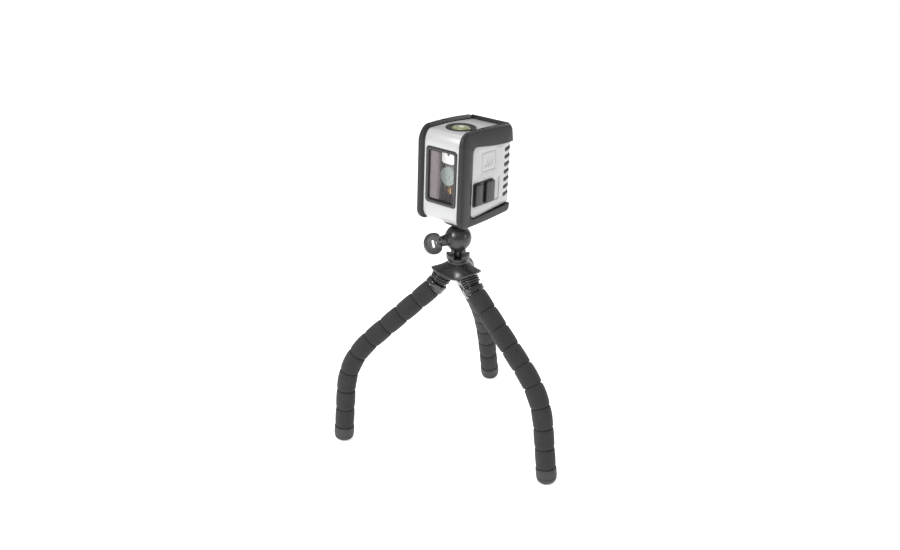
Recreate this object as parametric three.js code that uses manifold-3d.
// A small cross-line laser level on a tripod with three bendable foam legs.
// Millimetres, +Z up. The laser's window looks towards -Y, turned a little to -X.
import * as THREE from "three";
import { mergeVertices } from "three/addons/utils/BufferGeometryUtils.js";
import Module from "manifold-3d";

const wasm = await Module();
wasm.setup();

// ---- driving dimensions -------------------------------------------------------------
const GAP = 0.3; // between pieces that touch

// Legs: lengths run along the leg from the top end of the foam.
const FOAM_R = 8.5;
const BORE_R = 2.3;
const WIRE_R = 1.5;
const CUSHION = 18.76; // one foam cushion between two grooves
const CUSHIONS = 9;
const CUSHIONS_PER_NODE = 2;
const FOAM_TOP = { r: 21.9, z: 150.7 };
const BEND_ROOM = 15; // degrees that each foam joint may turn either way
const NECK_TURN = 20; // degrees that the leg leans in from the foam up to the crown
const NECK_TURN_LENGTH = 10;
const LEGS = [
  { azimuth: 183.6, splay: 48.5, toe: 4.5, bendFrom: 3.45, bendTo: 7.45 },
  { azimuth: 314.4, splay: 48, toe: 7, bendFrom: 3.75, bendTo: 7.35 },
  { azimuth: 73.2, splay: 46, toe: 19, bendFrom: 2.2, bendTo: 8.2 },
];

// Crown and ball head, on the tripod's own axis.
const LOBE_AZIMUTH = 190.4; // the first of three lobes, each over a leg
const HOOD = { radius: 18.5, top: 176.4, rim: 166.2, collar: 8.8, lobe: 0.19, drop: 3.6 };
const NECK = { ball: -19.5, ballRadius: 3.6, socket: 3.9, face: -17.7, rings: -15.6, end: -7 };
const POCKET_R = 9.5;
const BALL_Z = 197.4;
const BALL_R = 8.2;
const HOUSING_R = 11.2;
const KNOB_AZIMUTH = 219;
const NECK_R = 3.2;
const PLATE = { bottom: 211, top: 214.4, radius: 13.5 };

// Laser body, in its own frame: x to the switch side, y to the back. z counts from the base plane;
// the corner guards reach a little below it. The whole head leans sideways about the ball's centre.
const HEAD_LEAN = 1.9;
const LASER = { half: 25.8, front: -31.4, back: 36.8, base: 217.1, turn: -39.5, offY: 3.4 };
const BAND = { half: 19.6, front: -29.3, back: 33.2, wall: 2.2, low: -1.2, high: 77.6, corner: 9.5 };
const TAPER = { low: 1.8, high: 2.9, crownY: -3, blend: 14 }; // the band's top and bottom close in to the back
const BUMPER = { lip: 17.7, inner: 19.9, low: -3, high: 80.6, lowCorner: 8, corner: 12, chamfer: 2.1 };
const PANEL = { inner: 19.9, outer: 22.8, low: 4.7, lowBack: 8.4, high: 68.2, highBack: 62.6, front: -16.5 };
const WINDOW = { half: 16.15, low: 15.6, high: 63.5, frame: 3.2 };
const VIAL = { y: -5.1, radius: 12.7, bubble: 8 };
const AXLE = { y: -7, z: 57 }; // where the pendulum's two axes cross
const BATTERY = { radius: 7.15, x: 7.6, y: 22.4, low: 7, length: 50.5 };
const SLIDER = { front: -14.5, back: 12.6, low: 14.9, high: 34.9, travel: 8, stemY: -2.4 };
const DOOR = { half: 15.5, low: 9, high: 60 };

// ---- finishes -----------------------------------------------------------------------
const finish = (color, roughness, metalness = 0) =>
  new THREE.MeshStandardMaterial({ color, roughness, metalness });
const FOAM = finish(0x26272a, 0.95);
const RUBBER = finish(0x45474a, 0.75);
const BLACK = finish(0x2b2b2d, 0.4);
const GLOSS = finish(0x1c1c1e, 0.15);
const CHARCOAL = finish(0x434548, 0.6);
const SILVER = finish(0xd9dadb, 0.45, 0.1);
const WHITE = finish(0xf2f2f0, 0.5);
const GLASS = finish(0x9a8f96, 0.08);
const LIME = finish(0xc5d94a, 0.15);
const BRASS = finish(0xc59a4a, 0.3, 1);
const COPPER = finish(0xb8683c, 0.3, 1);
const STEEL = finish(0xa9adb0, 0.3, 1);
const BOARD = finish(0x1f6b3f, 0.5);
const GREENISH = finish(0xb6c4bd, 0.4, 0.4);

// ---- solids -------------------------------------------------------------------------
// A closed geometry as a solid that can be joined and cut.
function solid(geometry) {
  const bare = geometry.clone();
  bare.deleteAttribute("normal");
  bare.deleteAttribute("uv");
  const merged = mergeVertices(bare, 1e-4);
  const triVerts = new Uint32Array(merged.index.array);
  const vertProperties = merged.attributes.position.array;
  return new wasm.Manifold(new wasm.Mesh({ numProp: 3, vertProperties, triVerts }));
}

// The geometry of a solid.
function geometryOf(body) {
  const { vertProperties, triVerts } = body.getMesh();
  const geometry = new THREE.BufferGeometry();
  geometry.setAttribute("position", new THREE.BufferAttribute(new Float32Array(vertProperties), 3));
  geometry.setIndex([...triVerts]);
  geometry.computeVertexNormals();
  return geometry;
}

function mesh(name, shape, material) {
  const geometry = shape.isBufferGeometry ? shape : geometryOf(shape);
  const piece = new THREE.Mesh(geometry, material);
  piece.name = name;
  return piece;
}

// A box from its two corners.
function block(x0, x1, y0, y1, z0, z1) {
  const box = new THREE.BoxGeometry(x1 - x0, y1 - y0, z1 - z0);
  return solid(box.translate((x0 + x1) / 2, (y0 + y1) / 2, (z0 + z1) / 2));
}

// A profile of [radius, height] points turned about Z.
function turned(points, segments = 20) {
  const profile = points.map(([r, z]) => new THREE.Vector2(r, z));
  return new THREE.LatheGeometry(profile, segments).rotateX(Math.PI / 2);
}

const AXIS_TURNS = { x: [0, Math.PI / 2, 0], y: [-Math.PI / 2, 0, 0], z: [0, 0, 0] };

// A round bar (or a tube, with a bore) along an axis from one place to another.
function bar(axis, centre, from, to, radius, { bore = 0, segments = 20, chamfer = 0 } = {}) {
  const points = [
    [bore, from],
    [radius - chamfer, from],
    [radius, from + chamfer],
    [radius, to - chamfer],
    [radius - chamfer, to],
    [bore, to],
  ];
  const section = chamfer > 0 ? points : [points[0], points[1], points[4], points[5]];
  if (bore > 0) section.push([bore, from]);
  const turn = new THREE.Euler(...AXIS_TURNS[axis]);
  const place = new THREE.Matrix4().makeRotationFromEuler(turn);
  place.setPosition(...centre);
  return solid(turned(section, segments).applyMatrix4(place));
}

function ball(x, y, z, radius, segments = 20) {
  return solid(new THREE.SphereGeometry(radius, segments, segments / 2).translate(x, y, z));
}

// A closed outline of [y, z, corner radius] points.
function outline(corners) {
  const shape = new THREE.Shape();
  const count = corners.length;
  corners.forEach(([y, z, r = 0], i) => {
    const here = new THREE.Vector2(y, z);
    const before = new THREE.Vector2(...corners[(i + count - 1) % count]).sub(here).setLength(r);
    const after = new THREE.Vector2(...corners[(i + 1) % count]).sub(here).setLength(r);
    const start = here.clone().add(before);
    const end = here.clone().add(after);
    if (i === 0) shape.moveTo(start.x, start.y);
    else shape.lineTo(start.x, start.y);
    if (r > 0) shape.quadraticCurveTo(here.x, here.y, end.x, end.y);
  });
  shape.closePath();
  return shape;
}

// A side outline (y, z) as a slab between two places along x.
function slab(corners, from, to, { bevel = 0, smooth = 5 } = {}) {
  const geometry = new THREE.ExtrudeGeometry(outline(corners), {
    depth: to - from - 2 * bevel,
    bevelEnabled: bevel > 0,
    bevelThickness: bevel,
    bevelSize: bevel,
    bevelOffset: -bevel,
    bevelSegments: 1,
    curveSegments: smooth,
  });
  const turn = new THREE.Matrix4().makeBasis(
    new THREE.Vector3(0, 1, 0),
    new THREE.Vector3(0, 0, 1),
    new THREE.Vector3(1, 0, 0),
  );
  return solid(geometry.translate(0, 0, from + bevel).applyMatrix4(turn));
}

// A front outline (x, z) as a slab between two places along y.
function frontSlab(corners, from, to) {
  const mirrored = corners.map(([x, z, r]) => [-x, z, r]).reverse();
  const turn = new THREE.Matrix4().makeRotationZ(Math.PI / 2);
  return slab(mirrored, from, to).transform(turn.elements);
}

const rectangle = (u0, u1, v0, v1, r = 0) => [
  [u0, v0, r],
  [u1, v0, r],
  [u1, v1, r],
  [u0, v1, r],
];
const mirroredX = (body) => body.mirror([1, 0, 0]);

// ---- a bendable leg -----------------------------------------------------------------
// The leg's centre line lies in one upright plane: radius outward and height.
class LegPath {
  static STEP = 0.5;
  static TOP = -30;
  static END = 190;

  constructor({ splay, toe, bendFrom, bendTo }) {
    Object.assign(this, { splay, toe, bendFrom, bendTo });
    this.points = [];
    const { STEP, TOP, END } = LegPath;
    let { r, z } = FOAM_TOP;
    for (let s = 0; s > TOP; s -= STEP) {
      const lean = this.lean(s - STEP / 2);
      r -= STEP * Math.sin(lean);
      z += STEP * Math.cos(lean);
    }
    for (let s = TOP; s <= END; s += STEP) {
      this.points.push(new THREE.Vector2(r, z));
      const lean = this.lean(s + STEP / 2);
      r += STEP * Math.sin(lean);
      z -= STEP * Math.cos(lean);
    }
  }

  // The angle from the vertical, in radians, at a length along the leg.
  lean(s) {
    const neck = NECK_TURN * THREE.MathUtils.clamp(s / NECK_TURN_LENGTH, -1, 0);
    const bend = THREE.MathUtils.smoothstep(s / CUSHION, this.bendFrom, this.bendTo);
    return THREE.MathUtils.degToRad(this.splay + neck + (this.toe - this.splay) * bend);
  }

  // The point on the centre line at a length along the leg.
  at(s) {
    const index = (s - LegPath.TOP) / LegPath.STEP;
    const whole = Math.min(Math.floor(index), this.points.length - 2);
    return this.points[whole].clone().lerp(this.points[whole + 1], index - whole);
  }

  // Bends a straight piece, whose z is a length along the leg, onto the centre line.
  bend(geometry) {
    const position = geometry.attributes.position;
    for (let i = 0; i < position.count; i += 1) {
      const s = position.getZ(i);
      const lean = this.lean(s);
      const centre = this.at(s);
      const across = position.getX(i);
      position.setX(i, centre.x + across * Math.cos(lean));
      position.setZ(i, centre.y + across * Math.sin(lean));
      position.setY(i, -position.getY(i));
    }
    return geometry;
  }

  // A straight placement at a length along the leg, z down the leg: for pieces that don't bend.
  frame(s) {
    const lean = this.lean(s);
    const centre = this.at(s);
    const down = new THREE.Vector3(Math.sin(lean), 0, -Math.cos(lean));
    const out = new THREE.Vector3(Math.cos(lean), 0, Math.sin(lean));
    const place = new THREE.Matrix4().makeBasis(out, new THREE.Vector3(0, -1, 0), down);
    return place.setPosition(centre.x, 0, centre.y);
  }

  // Where the leg's end touches the ground, measured along the leg.
  get ground() {
    const s = FOAM_END;
    return s + this.at(s).y / Math.cos(this.lean(s));
  }
}

const FOAM_END = CUSHION * CUSHIONS;
const LEG_SIDES = 12;

// One foam node: cushions with a groove between them and ends that leave room to bend.
function foamProfile(from, to, firstEnd, lastEnd) {
  const slope = Math.tan(THREE.MathUtils.degToRad(BEND_ROOM / 2 + 0.1));
  const recess = (open, r) => (open ? r * slope + GAP / 2 : GAP / 2);
  const groove = { width: 1.7, depth: 1.1 };
  const steps = 3;
  const points = [];
  const cushions = Math.round((to - from) / CUSHION);
  for (let c = 0; c < cushions; c += 1) {
    const start = from + c * CUSHION;
    const first = c === 0 ? recess(firstEnd, FOAM_R) : groove.width / 2;
    const last = c === cushions - 1 ? recess(lastEnd, FOAM_R) : groove.width / 2;
    for (let i = 0; i <= steps; i += 1) {
      points.push([FOAM_R, THREE.MathUtils.lerp(start + first, start + CUSHION - last, i / steps)]);
    }
    if (c < cushions - 1) points.push([FOAM_R - groove.depth, start + CUSHION]);
  }
  const bottom = to - recess(lastEnd, BORE_R);
  const top = from + recess(firstEnd, BORE_R);
  const bore = [0, 0.25, 0.5, 0.75, 1].map((t) => [BORE_R, THREE.MathUtils.lerp(bottom, top, t)]);
  return [...points, ...bore, points[0]];
}

function footProfile(path) {
  const start = FOAM_END + GAP;
  const tip = path.ground;
  const band = start + 8;
  const points = [
    [BORE_R, start],
    [8.6, start],
    [9.1, start + 0.7],
    [9.1, band],
    [8.7, band + 0.5],
    [8.7, band + 1.2],
  ];
  const dome = { from: band + 1.2, r: 8.7 };
  const height = tip + 0.9 - dome.from;
  for (let i = 1; i <= 4; i += 1) {
    const angle = (i * Math.PI) / 8;
    points.push([dome.r * Math.cos(angle) ** 0.8, dome.from + height * Math.sin(angle)]);
  }
  points[points.length - 1][0] = 0;
  return [...points, [0, start + 5], [BORE_R, start + 5], [BORE_R, start]];
}

function neckProfile() {
  const { ball: centre, ballRadius, rings, end } = NECK;
  const shaft = 2.4;
  const points = [];
  const last = Math.asin(shaft / ballRadius);
  for (let i = 0; i <= 4; i += 1) {
    const angle = ((Math.PI - last) * i) / 4;
    points.push([ballRadius * Math.sin(angle), centre - ballRadius * Math.cos(angle)]);
  }
  points[0][0] = 0;
  points.push([shaft, rings]);
  const count = 4;
  const pitch = (end - rings) / count;
  for (let i = 0; i < count; i += 1) {
    const top = rings + i * pitch;
    const radius = 8.5 - 0.3 * i;
    points.push([radius - 1.1, top], [radius, top + 0.7], [radius, top + pitch - 0.7]);
  }
  return [...points, [7, end], [BORE_R, end], [BORE_R, -13.5], [0, -13.5]];
}

function ferruleProfile() {
  const from = NECK.end + GAP;
  const to = -GAP / 2;
  return [
    [BORE_R, from],
    [8, from],
    [8.7, from + 0.7],
    [8.7, to - 0.6],
    [8.3, to],
    [BORE_R, to],
    [BORE_R, from],
  ];
}

function wireProfile() {
  const from = -13;
  const to = FOAM_END + 4.6;
  const steps = 22;
  const points = [[0, from]];
  for (let i = 0; i <= steps; i += 1) {
    points.push([WIRE_R, THREE.MathUtils.lerp(from, to, i / steps)]);
  }
  return [...points, [0, to]];
}

function alongLeg(path, profile, segments = LEG_SIDES) {
  return path.bend(turned(profile, segments));
}

function makeLeg(spec, number) {
  const path = new LegPath(spec);
  const leg = new THREE.Group();
  leg.rotation.z = THREE.MathUtils.degToRad(spec.azimuth);
  const add = (name, shape, material) => leg.add(mesh(`leg_${number}_${name}`, shape, material));
  add("neck", alongLeg(path, neckProfile(), 12), BLACK);
  add("ferrule", alongLeg(path, ferruleProfile(), 14), GLOSS);
  const nodes = Math.ceil(CUSHIONS / CUSHIONS_PER_NODE);
  for (let n = 0; n < nodes; n += 1) {
    const from = n * CUSHIONS_PER_NODE * CUSHION;
    const to = Math.min(from + CUSHIONS_PER_NODE * CUSHION, FOAM_END);
    const profile = foamProfile(from, to, n > 0, n < nodes - 1);
    add(`foam_${n + 1}`, alongLeg(path, profile), FOAM);
  }
  const foot = solid(alongLeg(path, footProfile(path), 14));
  const underground = block(0, 200, -40, 40, -20, 0);
  add("foot", foot.subtract(underground), RUBBER);
  add("core_wire", alongLeg(path, wireProfile(), 6), STEEL);
  return leg;
}

// ---- crown --------------------------------------------------------------------------
function makeHub() {
  const { radius, top, rim, collar, lobe, drop } = HOOD;
  const flare = (t) => [
    THREE.MathUtils.lerp(collar, radius, t),
    THREE.MathUtils.lerp(top - 1.6, rim + 1.2, t ** 0.8),
  ];
  const skirt = [0, 0.25, 0.5, 0.75, 1].map(flare);
  const profile = [[0, 160.5], [6, 160.5], [radius - 0.9, rim - 0.2], [radius, rim]];
  profile.push(...skirt.reverse(), [collar, top], [0, top]);
  const geometry = turned(profile, 24);
  const position = geometry.attributes.position;
  const first = THREE.MathUtils.degToRad(LOBE_AZIMUTH);
  for (let i = 0; i < position.count; i += 1) {
    const x = position.getX(i);
    const y = position.getY(i);
    const share = THREE.MathUtils.clamp((Math.hypot(x, y) - collar) / (radius - collar), 0, 1) ** 1.3;
    const wave = Math.cos(3 * (Math.atan2(y, x) - first)) * share;
    position.setXYZ(i, x * (1 + lobe * wave), y * (1 + lobe * wave), position.getZ(i) + drop * wave);
  }
  let hub = solid(geometry);
  for (const spec of LEGS) {
    const path = new LegPath(spec);
    const spin = new THREE.Matrix4().makeRotationZ(THREE.MathUtils.degToRad(spec.azimuth));
    const place = spin.multiply(path.frame(NECK.ball));
    const down = NECK.face - NECK.ball;
    const pocket = turned([[0, down], [POCKET_R, down], [POCKET_R, 30], [0, 30]], 20);
    const socket = new THREE.SphereGeometry(NECK.socket, 12, 8);
    hub = hub.subtract(solid(pocket.applyMatrix4(place)));
    hub = hub.subtract(solid(socket.applyMatrix4(place)));
  }
  const stemBore = bar("z", [0, 0, 0], 168, 190, 3.3, { segments: 16 });
  return hub.subtract(stemBore);
}

function makeLockRing() {
  const bore = 4.2;
  const low = HOOD.top + GAP;
  let ring = bar("z", [0, 0, 0], low, low + 2.4, 9.6, { bore, chamfer: 0.4, segments: 24 });
  const crown = bar("z", [0, 0, 0], low + 2.2, low + 6.2, 10.35, { bore: 6.2, chamfer: 0.8, segments: 24 });
  ring = ring.add(crown);
  for (let i = 0; i < 3; i += 1) {
    const notch = block(4.6, 12, -3.1, 3.1, low + 3, low + 8);
    ring = ring.subtract(notch.rotate([0, 0, 250 + i * 120]));
  }
  return ring;
}

// ---- ball head ----------------------------------------------------------------------
function makeHousing() {
  let body = ball(0, 0, BALL_Z, HOUSING_R, 24);
  body = body.add(bar("z", [0, 0, 0], 177, BALL_Z - 9, 3.85, { segments: 16 }));
  body = body.add(bar("z", [0, 0, 0], 168.6, 178, 3, { segments: 16 }));
  const boss = bar("x", [0, 0, BALL_Z], 7, 15.6, 4.5, { chamfer: 0.5 });
  body = body.add(boss);
  body = body.subtract(ball(0, 0, BALL_Z, BALL_R + 0.5, 18));
  const mouth = turned([[0, 0], [9.9, 15.3], [0, 15.3]], 16).translate(0, 0, BALL_Z);
  body = body.subtract(solid(mouth));
  // The slot opposite the knob lets the neck lie over on its side.
  const slot = block(-20, 0, -NECK_R - 0.6, NECK_R + 0.6, BALL_Z - 1.2, BALL_Z + 20);
  body = body.subtract(slot);
  body = body.subtract(bar("x", [0, 0, BALL_Z], 5, 20, 2.3, { segments: 12 }));
  return body.rotate([0, 0, KNOB_AZIMUTH]);
}

function makeKnob() {
  const radius = 9.3;
  const centre = 27;
  const half = 1.9;
  const disc = bar("y", [centre, 0, BALL_Z], -half, half, radius, { chamfer: 0.9, segments: 28 });
  const chord = block(0, centre - 5.6, -4, 4, BALL_Z - 12, BALL_Z + 12);
  const cross = block(centre - 0.4, centre + 2, -4, 4, BALL_Z - 3, BALL_Z + 3);
  const stem = block(centre - 7, centre - 0.6, -4, 4, BALL_Z - 1.1, BALL_Z + 1.1);
  const barrel = bar("x", [0, 0, BALL_Z], 16, centre - 4.2, 2.9, { segments: 12 });
  const shaft = bar("x", [0, 0, BALL_Z], 9.2, 17, 2, { segments: 12 });
  const paddle = disc.subtract(chord).add(barrel);
  return paddle.subtract(cross).subtract(stem).add(shaft).rotate([0, 0, KNOB_AZIMUTH]);
}

function makeBallStud() {
  const neck = turned(
    [[0, BALL_Z], [NECK_R, BALL_Z], [NECK_R, 208.9], [5.6, PLATE.bottom - GAP], [0, PLATE.bottom - GAP]],
    16,
  );
  return ball(0, 0, BALL_Z, BALL_R, 20).add(solid(neck));
}

function makePlate() {
  const { bottom, top, radius } = PLATE;
  const disc = bar("z", [0, 0, 0], bottom, top, radius, { chamfer: 0.9, segments: 28 });
  return disc.subtract(bar("z", [0, 0, 0], bottom - 1, top + 1, 3.4, { segments: 20 }));
}

// ---- laser body ---------------------------------------------------------------------
function bandOutline(inset) {
  const { front, back, low, high, corner } = BAND;
  const open = back + (inset > 0 ? 20 : 0);
  const rounding = corner - inset;
  const run = (open - TAPER.crownY) / (back - TAPER.crownY);
  return [
    [front + inset, low + inset, rounding],
    [TAPER.crownY, low + inset, TAPER.blend],
    [open, low + TAPER.low * run + inset, 0],
    [open, high - TAPER.high * run - inset, 0],
    [TAPER.crownY, high - inset, TAPER.blend],
    [front + inset, high - 1 - inset, rounding],
  ];
}

function makeFrontShell() {
  const { half, wall, front } = BAND;
  let shell = slab(bandOutline(0), -half, half);
  shell = shell.subtract(slab(bandOutline(wall), -half - 1, half + 1));
  const { half: reach, low, high } = WINDOW;
  const opening = rectangle(-reach - GAP, reach + GAP, low - GAP, high + GAP, 3);
  shell = shell.subtract(frontSlab(opening, front - 5, front + 12));
  const top = bar("z", [0, VIAL.y, 0], 60, 90, VIAL.radius + GAP, { segments: 28 });
  const bottom = bar("z", [0, -LASER.offY, 0], -5, 8, 6.6, { segments: 20 });
  return shell.subtract(top).subtract(bottom);
}

// A side panel's outline, let in by an inset.
function panelOutline(inset, back) {
  const { low, lowBack, high, highBack, front } = PANEL;
  return [
    [front + inset, low + inset, 5],
    [back, lowBack + inset, 0],
    [back, highBack - inset, 0],
    [front + inset, high - inset, 7],
  ];
}

// The rubber corner guard of one side: a C that is open at the back, with a lip over the shell.
function makeBumper() {
  const { half, front, back } = LASER;
  const { lip, inner, low, high, corner, lowCorner, chamfer } = BUMPER;
  const profile = [
    [front, low, lowCorner],
    [TAPER.crownY, low, TAPER.blend],
    [back, low + TAPER.low, 6],
    [back, high - TAPER.high, 7],
    [TAPER.crownY, high, TAPER.blend],
    [front, high - 1.2, corner],
  ];
  const outer = slab(profile, lip, half, { bevel: chamfer });
  const core = slab(bandOutline(-GAP), 0, inner);
  const behind = block(0, inner, BAND.back - 1, 60, -20, 100);
  return outer.subtract(core).subtract(behind).subtract(slab(panelOutline(0, 60), 0, 40));
}

function makeSidePanel() {
  const { inner, outer } = PANEL;
  return slab(panelOutline(GAP, LASER.back - 0.3), inner, outer, { bevel: 0.5 });
}

// Seven grip slots round the back edge of a side panel.
function cutVents(panel) {
  const count = 7;
  const pitch = 6.63;
  const first = 16.8;
  let cut = panel;
  for (let i = 0; i < count; i += 1) {
    const z = first + i * pitch;
    const slot = [
      [27.6, z - 1.5, 1.2],
      [33.2, z - 0.9, 0],
      [39, z + 0.9, 0],
      [39, z + 3.1, 0],
      [33.2, z + 1.7, 0],
      [27.6, z + 1.5, 1.2],
    ];
    cut = cut.subtract(slab(slot, PANEL.outer - 1.3, 30, { smooth: 2 }));
  }
  return cut;
}

function makeRightPanel() {
  const { outer } = PANEL;
  const { front, back, low, high, travel, stemY } = SLIDER;
  let panel = cutVents(makeSidePanel());
  const track = rectangle(front - 0.5, back + travel + 0.5, low - 0.5, high + 0.5, 1.5);
  panel = panel.subtract(slab(track, outer - 0.7, 30, { smooth: 2 }));
  const middle = (low + high) / 2;
  const slot = rectangle(stemY - 2.6, stemY + travel + 2.6, middle - 2.6, middle + 2.6, 2);
  panel = panel.subtract(slab(slot, 0, 30, { smooth: 2 }));
  const emblem = rectangle(-4.6, 13.9, 43.2, 59.7);
  const inside = rectangle(-4, 13.3, 43.8, 59.1);
  const border = slab(emblem, outer - 0.35, 30).subtract(slab(inside, 0, 40));
  return panel.subtract(border);
}

function makeSlider() {
  const { front, back, low, high, stemY } = SLIDER;
  const floor = PANEL.outer - 0.7 + GAP;
  const plate = slab(rectangle(front, back, low, high, 1.6), floor, floor + 1.1, { smooth: 2 });
  const proud = floor + 3.2;
  const gapHalf = 2.9;
  const pads = [
    [front + 0.6, stemY - gapHalf],
    [stemY + gapHalf, back - 0.6],
  ].map(([y0, y1]) => {
    const pad = rectangle(y0, y1, low + 0.8, high - 0.8, 1.2);
    return slab(pad, floor + 1, proud, { bevel: 0.5, smooth: 1 });
  });
  const middle = (low + high) / 2;
  const stem = bar("x", [0, stemY, middle], 17.4, floor + 0.5, 2, { segments: 16 });
  return plate.add(pads[0]).add(pads[1]).add(stem);
}

function makeRearCover() {
  const { half, back, low, high } = BAND;
  const from = back + GAP;
  const to = LASER.back - 0.2;
  const bottom = low + 0.3;
  const top = high + 0.4;
  const side = [[from, bottom, 0], [to, bottom, 1.5], [to, top, 2], [from, top, 0]];
  const door = rectangle(-DOOR.half, DOOR.half, DOOR.low, DOOR.high, 2.5);
  return slab(side, -half, half).subtract(frontSlab(door, from - 1, to + 1));
}

function makeBatteryDoor() {
  const from = BAND.back + GAP;
  const to = LASER.back - 0.2;
  const gap = GAP + 0.1;
  const { half, low, high } = DOOR;
  let door = frontSlab(rectangle(-half + gap, half - gap, low + gap, high - gap, 2.2), from + 0.4, to);
  for (let i = 0; i < 4; i += 1) {
    door = door.subtract(block(-7, 7, to - 0.6, to + 1, 50 - i * 2.4, 51.2 - i * 2.4));
  }
  return door;
}

function makeBezel() {
  const { half, low, high, frame } = WINDOW;
  const front = BAND.front - 0.5;
  const outer = rectangle(-half, half, low, high, 2.8);
  const inner = rectangle(-half + frame, half - frame, low + frame, high - frame, 1.4);
  return frontSlab(outer, front, front + 3.8).subtract(frontSlab(inner, front - 1, front + 5));
}

function makeWindow() {
  const { half, low, high, frame } = WINDOW;
  const inset = frame + GAP;
  const glass = rectangle(-half + inset, half - inset, low + inset, high - inset, 1.2);
  return frontSlab(glass, BAND.front + 1.1, BAND.front + 2.6);
}

function makeVialBezel() {
  const top = BAND.high + 0.5;
  const low = BAND.high - 7;
  const disc = bar("z", [0, VIAL.y, 0], low, top, VIAL.radius, { chamfer: 0.5, segments: 28 });
  return disc.subtract(bar("z", [0, VIAL.y, 0], low + 1.5, top + 2, VIAL.bubble + GAP, { segments: 20 }));
}

function makeVial() {
  const low = BAND.high - 5.2;
  const r = VIAL.bubble;
  const crown = BAND.high + 1.2;
  const profile = [[0, low], [r, low], [r, crown - 1.2], [r * 0.8, crown - 0.4], [r * 0.4, crown - 0.05], [0, crown]];
  return solid(turned(profile, 20).translate(0, VIAL.y, 0));
}

// ---- inside the laser ---------------------------------------------------------------
function makeYoke() {
  const front = AXLE.y - 13.6;
  const back = AXLE.y + 11.8;
  let yoke = block(-15, 15, front, back + 2, 66.3, 68.6);
  for (const y of [front, back]) {
    yoke = yoke.add(frontSlab(rectangle(-6.6, 6.6, 49, 67, 2.4), y, y + 2));
  }
  const pinHole = bar("y", [0, 0, AXLE.z], front - 5, back + 5, 1.9, { segments: 16 });
  return yoke.subtract(pinHole);
}

function makeGimbalRing() {
  const { y, z } = AXLE;
  const outer = frontSlab(rectangle(-11.5, 11.5, z - 2.4, z + 2.4), y - 10.9, y + 10.9);
  const hollow = block(-9.1, 9.1, y - 8.5, y + 8.5, z - 5, z + 5);
  const pins = [
    bar("y", [0, 0, z], y - 13.4, y - 9, 1.5, { segments: 16 }),
    bar("y", [0, 0, z], y + 9, y + 13.4, 1.5, { segments: 16 }),
  ];
  const hole = bar("x", [0, y, z], -20, 20, 1.6, { segments: 16 });
  return outer.subtract(hollow).subtract(hole).add(pins[0]).add(pins[1]);
}

function makePendulum() {
  const { y, z } = AXLE;
  const axle = bar("x", [0, y, z], -11.2, 11.2, 1.2, { segments: 12 });
  const hanger = block(-3, 3, y - 3, y + 3, 44, z + 2.6);
  const body = block(-8.4, 8.4, y - 7.5, y + 10.5, 20.5, 46.5);
  const barrel = bar("y", [0, 0, 38], -30, y + 3, 5.7, { segments: 20 });
  const lower = bar("y", [0, 0, 25.6], -30, y + 3, 4, { segments: 20 });
  const foot = bar("z", [0, y, 0], 15.6, 21, 3.2, { segments: 16 });
  return axle.add(hanger).add(body).add(foot).subtract(barrel).subtract(lower);
}

function makeModule(z, radius, flange, front) {
  const back = AXLE.y + 2.6;
  const barrel = bar("y", [0, 0, z], front + 1, back, radius, { segments: 20, chamfer: 0.3 });
  const disc = bar("y", [0, 0, z], front, front + 2.4, flange, { chamfer: 0.4 });
  const lens = bar("x", [0, front - 0.2, z], -2.2, 2.2, 1.3, { segments: 10 });
  return barrel.add(disc).add(lens);
}

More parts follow.
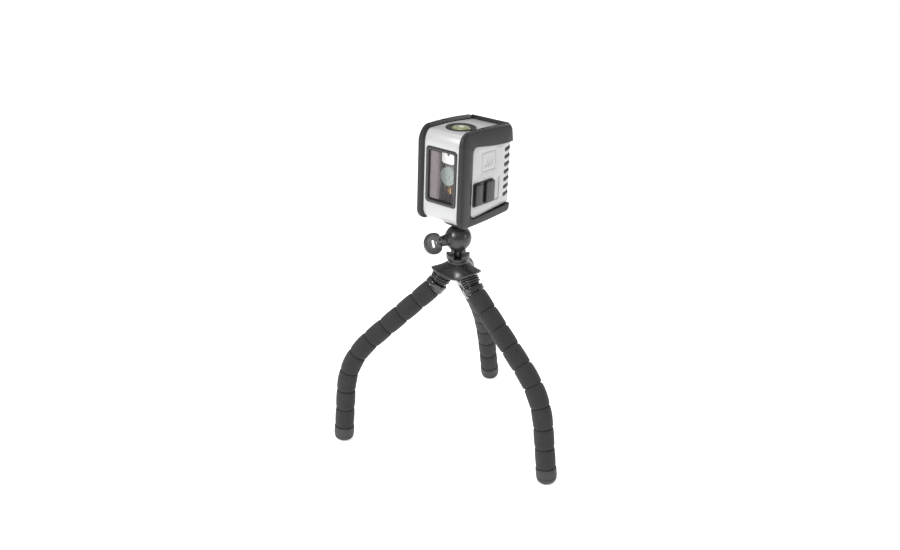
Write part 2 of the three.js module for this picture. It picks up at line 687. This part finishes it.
function makeLaser() {
  const laser = new THREE.Group();
  const turn = THREE.MathUtils.degToRad(LASER.turn);
  laser.rotation.z = turn;
  laser.position.set(0, LASER.offY, 0).applyAxisAngle(new THREE.Vector3(0, 0, 1), turn).setZ(LASER.base);
  const add = (name, shape, material) => laser.add(mesh(name, shape, material));

  add("front_shell", makeFrontShell(), SILVER);
  const bumper = makeBumper();
  add("right_bumper", bumper, CHARCOAL);
  add("left_bumper", mirroredX(bumper), CHARCOAL);
  add("right_side_panel", makeRightPanel(), SILVER);
  add("left_side_panel", mirroredX(cutVents(makeSidePanel())), SILVER);
  add("lock_slider", makeSlider(), BLACK);
  add("rear_cover", makeRearCover(), CHARCOAL);
  add("battery_door", makeBatteryDoor(), CHARCOAL);
  add("window_bezel", makeBezel(), GLOSS);
  add("front_window", makeWindow(), GLASS);
  add("vial_bezel", makeVialBezel(), BLACK);
  add("bubble_vial", makeVial(), LIME);

  const mount = [0, -LASER.offY, 0];
  const bossLow = PLATE.top + GAP - LASER.base;
  const boss = bar("z", mount, bossLow, BAND.low - GAP, 12, { bore: 5.8, chamfer: 0.2, segments: 24 });
  add("base_boss", boss, CHARCOAL);
  add("tripod_insert", bar("z", mount, bossLow + 0.2, 9.5, 5.4, { bore: 3.4, chamfer: 0.4 }), BRASS);
  const plate = block(-17, 17, -16.5, 30.5, BAND.low + TAPER.low + BAND.wall + GAP, 5.2);
  add("chassis_plate", plate.subtract(bar("z", mount, 0, 12, 5.8)), BLACK);

  add("gimbal_yoke", makeYoke(), WHITE);
  add("gimbal_ring", makeGimbalRing(), STEEL);
  add("pendulum_body", makePendulum(), GREENISH);
  add("laser_module_upper", makeModule(38, 5.4, 8, -20.6), GREENISH);
  add("laser_module_lower", makeModule(25.6, 3.7, 3.7, -19.6), BRASS);
  add("damping_magnet", bar("z", [0, AXLE.y, 0], 13.4, 15.3, 6.5, { chamfer: 0.3 }), STEEL);
  add("copper_damper", block(-10, 10, AXLE.y - 10, AXLE.y + 10, 9.9, 11.9), COPPER);
  add("circuit_board", block(-16, -14.4, -24, 9, 8, 62), BOARD);
  for (const [i, side] of [-1, 1].entries()) {
    const { radius, x, y, low, length } = BATTERY;
    const can = bar("z", [side * x, y, 0], low, low + length - 1.2, radius, { chamfer: 0.5, segments: 16 });
    const stud = bar("z", [side * x, y, 0], low + 40, low + length, 2.7, { segments: 12 });
    add(`battery_${i + 1}`, can.add(stud), STEEL);
  }
  const lever = block(13.6, 17.1, -5.2, 0.8, 23, 28.7).add(block(11.4, 14, -4, -0.4, 24, 27.6));
  add("lock_lever", lever, BLACK);
  return laser;
}

// ---- assembly -----------------------------------------------------------------------
const group = new THREE.Group();
LEGS.forEach((spec, i) => group.add(makeLeg(spec, i + 1)));
group.add(mesh("crown_hub", makeHub(), BLACK));
group.add(mesh("lock_ring", makeLockRing(), BLACK));
group.add(mesh("ball_housing", makeHousing(), BLACK));
group.add(mesh("clamp_knob", makeKnob(), BLACK));

// The ball and all that it carries lean together.
const head = new THREE.Group();
head.rotation.y = THREE.MathUtils.degToRad(HEAD_LEAN);
const ballCentre = new THREE.Vector3(0, 0, BALL_Z);
head.position.copy(ballCentre).sub(ballCentre.clone().applyEuler(head.rotation));
head.add(mesh("ball_stud", makeBallStud(), BLACK));
head.add(mesh("top_plate", makePlate(), BLACK));
const screw = bar("z", [0, 0, 0], PLATE.bottom + 0.2, PLATE.top + 7.6, 2.95, { chamfer: 0.4 });
head.add(mesh("camera_screw", screw, STEEL));
head.add(makeLaser());
group.add(head);

// The origin stands on the ground under the middle of the whole object.
const box = new THREE.Box3().setFromObject(group);
const middle = box.getCenter(new THREE.Vector3());
group.position.set(-middle.x, -middle.y, -box.min.z);

export default group;
